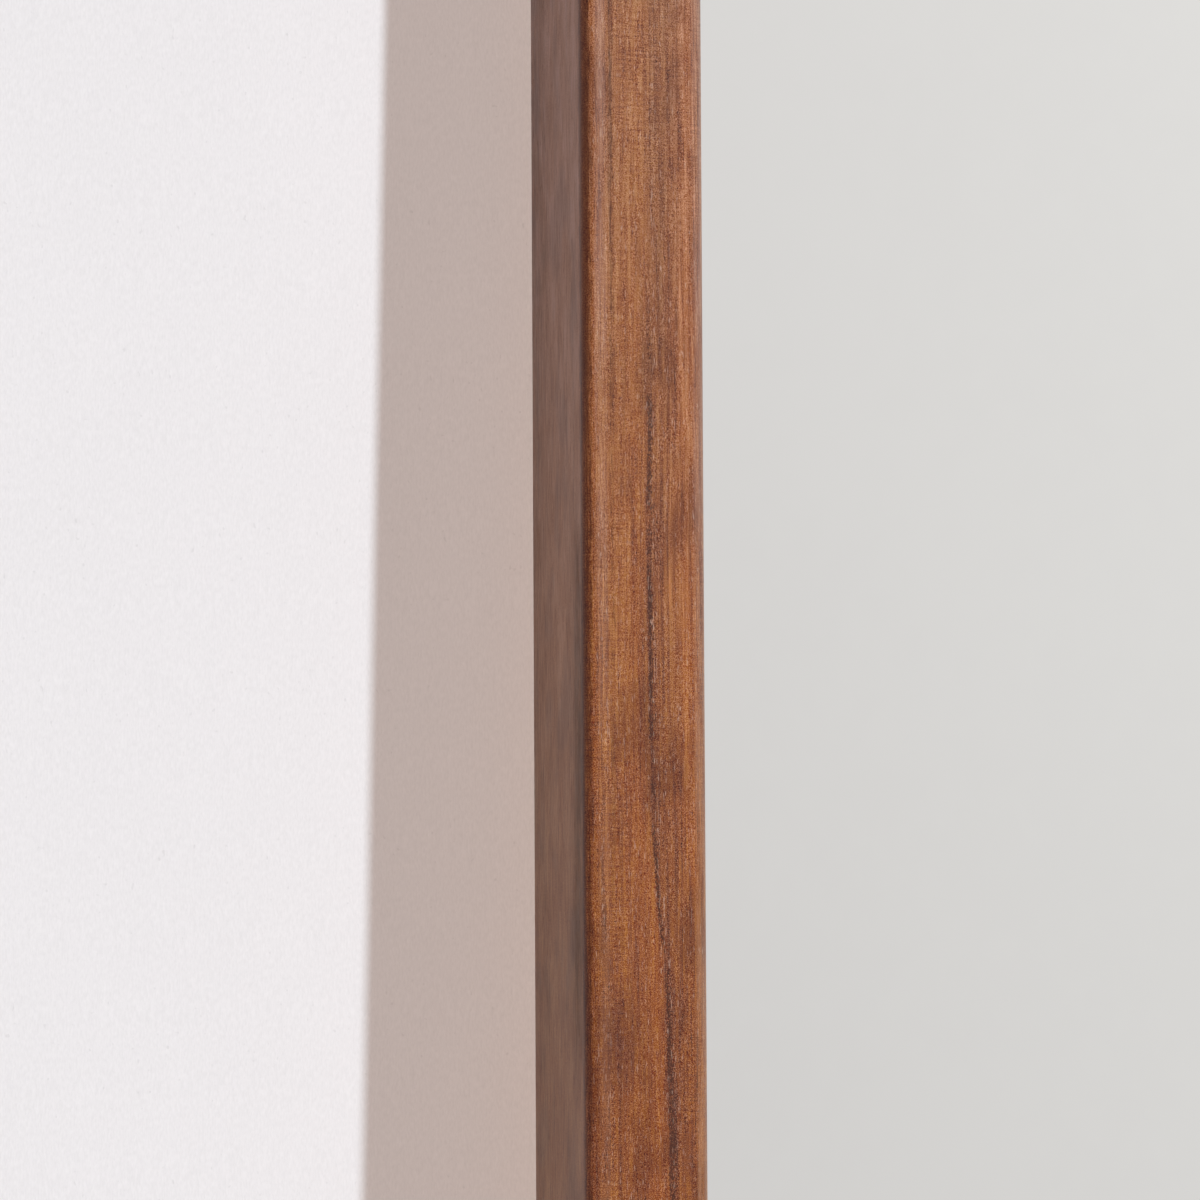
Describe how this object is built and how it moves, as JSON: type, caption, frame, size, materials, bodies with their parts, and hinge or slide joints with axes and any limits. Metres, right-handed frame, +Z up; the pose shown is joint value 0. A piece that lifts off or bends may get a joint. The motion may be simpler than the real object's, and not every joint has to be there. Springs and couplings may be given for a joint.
{
  "type": "leaner mirror",
  "caption": "Full-length leaner mirror in a slim mitred hardwood frame, its back board held by turn buttons, with swinging hanger rings, wall bumpers and floor pads.",
  "frame": {"origin": "on the floor, under the middle of the mirror's overall width and depth", "axes": "+X to the right of someone who faces the mirror, +Y from its front to its back, +Z up"},
  "size_m": [0.7, 0.0378, 1.803],
  "materials": {
    "oiled_hardwood": "satin",
    "key_beech": "matte",
    "tape_foam": "matte",
    "block_rubber": "matte",
    "silvered_glass": "polished",
    "safety_film": "satin",
    "filler_card": "matte",
    "back_board": "matte",
    "zinc_steel": "satin",
    "screw_steel": "satin",
    "button_steel": "satin",
    "ring_steel": "gloss",
    "bumper_rubber": "matte",
    "pad_rubber": "matte"
  },
  "bodies": {
    "frame": {"left_stile": "oiled_hardwood", "right_stile": "oiled_hardwood", "top_rail": "oiled_hardwood", "bottom_rail": "oiled_hardwood", "mitre_key_top_left": "key_beech", "mitre_key_bottom_left": "key_beech", "mitre_key_top_right": "key_beech", "mitre_key_bottom_right": "key_beech", "glazing_tape_left": "tape_foam", "glazing_tape_right": "tape_foam", "glazing_tape_top": "tape_foam", "glazing_tape_bottom": "tape_foam", "setting_block_left": "block_rubber", "setting_block_right": "block_rubber", "mirror_glass": "silvered_glass", "safety_film": "safety_film", "filler_board": "filler_card", "back_board": "back_board", "corner_brace_top_left": "zinc_steel", "corner_brace_top_right": "zinc_steel", "corner_brace_bottom_right": "zinc_steel", "corner_brace_bottom_left": "zinc_steel", "corner_brace_screws": "screw_steel", "turn_button_screws": "screw_steel", "hanger_plate_left": "zinc_steel", "hanger_plate_right": "zinc_steel", "hanger_screws": "screw_steel", "wall_bumper_left": "bumper_rubber", "floor_pad_left": "pad_rubber", "wall_bumper_right": "bumper_rubber", "floor_pad_right": "pad_rubber"},
    "turn_button_upper_left": {"turn_button_upper_left": "button_steel"},
    "turn_button_upper_right": {"turn_button_upper_right": "button_steel"},
    "turn_button_middle_left": {"turn_button_middle_left": "button_steel"},
    "turn_button_middle_right": {"turn_button_middle_right": "button_steel"},
    "turn_button_lower_left": {"turn_button_lower_left": "button_steel"},
    "turn_button_lower_right": {"turn_button_lower_right": "button_steel"},
    "turn_button_top": {"turn_button_top": "button_steel"},
    "turn_button_bottom": {"turn_button_bottom": "button_steel"},
    "hanger_ring_left": {"hanger_ring_left": "ring_steel"},
    "hanger_ring_right": {"hanger_ring_right": "ring_steel"}
  },
  "joints": [
    {"name": "upper_left_button_turn", "type": "hinge", "parent": "frame", "child": "turn_button_upper_left", "pos_m": [-0.34, 0.0111, 1.503], "axis": [0, 1, 0], "continuous": true},
    {"name": "upper_right_button_turn", "type": "hinge", "parent": "frame", "child": "turn_button_upper_right", "pos_m": [0.34, 0.0111, 1.503], "axis": [0, 1, 0], "continuous": true},
    {"name": "middle_left_button_turn", "type": "hinge", "parent": "frame", "child": "turn_button_middle_left", "pos_m": [-0.34, 0.0111, 0.903], "axis": [0, 1, 0], "continuous": true},
    {"name": "middle_right_button_turn", "type": "hinge", "parent": "frame", "child": "turn_button_middle_right", "pos_m": [0.34, 0.0111, 0.903], "axis": [0, 1, 0], "continuous": true},
    {"name": "lower_left_button_turn", "type": "hinge", "parent": "frame", "child": "turn_button_lower_left", "pos_m": [-0.34, 0.0111, 0.303], "axis": [0, 1, 0], "continuous": true},
    {"name": "lower_right_button_turn", "type": "hinge", "parent": "frame", "child": "turn_button_lower_right", "pos_m": [0.34, 0.0111, 0.303], "axis": [0, 1, 0], "continuous": true},
    {"name": "top_button_turn", "type": "hinge", "parent": "frame", "child": "turn_button_top", "pos_m": [0, 0.0111, 1.793], "axis": [0, 1, 0], "continuous": true},
    {"name": "bottom_button_turn", "type": "hinge", "parent": "frame", "child": "turn_button_bottom", "pos_m": [0, 0.0111, 0.013], "axis": [0, 1, 0], "continuous": true},
    {"name": "left_ring_swing", "type": "hinge", "parent": "frame", "child": "hanger_ring_left", "pos_m": [-0.34, 0.015, 1.323], "axis": [1, 0, 0], "range_deg": [0, 180]},
    {"name": "right_ring_swing", "type": "hinge", "parent": "frame", "child": "hanger_ring_right", "pos_m": [0.34, 0.015, 1.323], "axis": [1, 0, 0], "range_deg": [0, 180]}
  ]
}
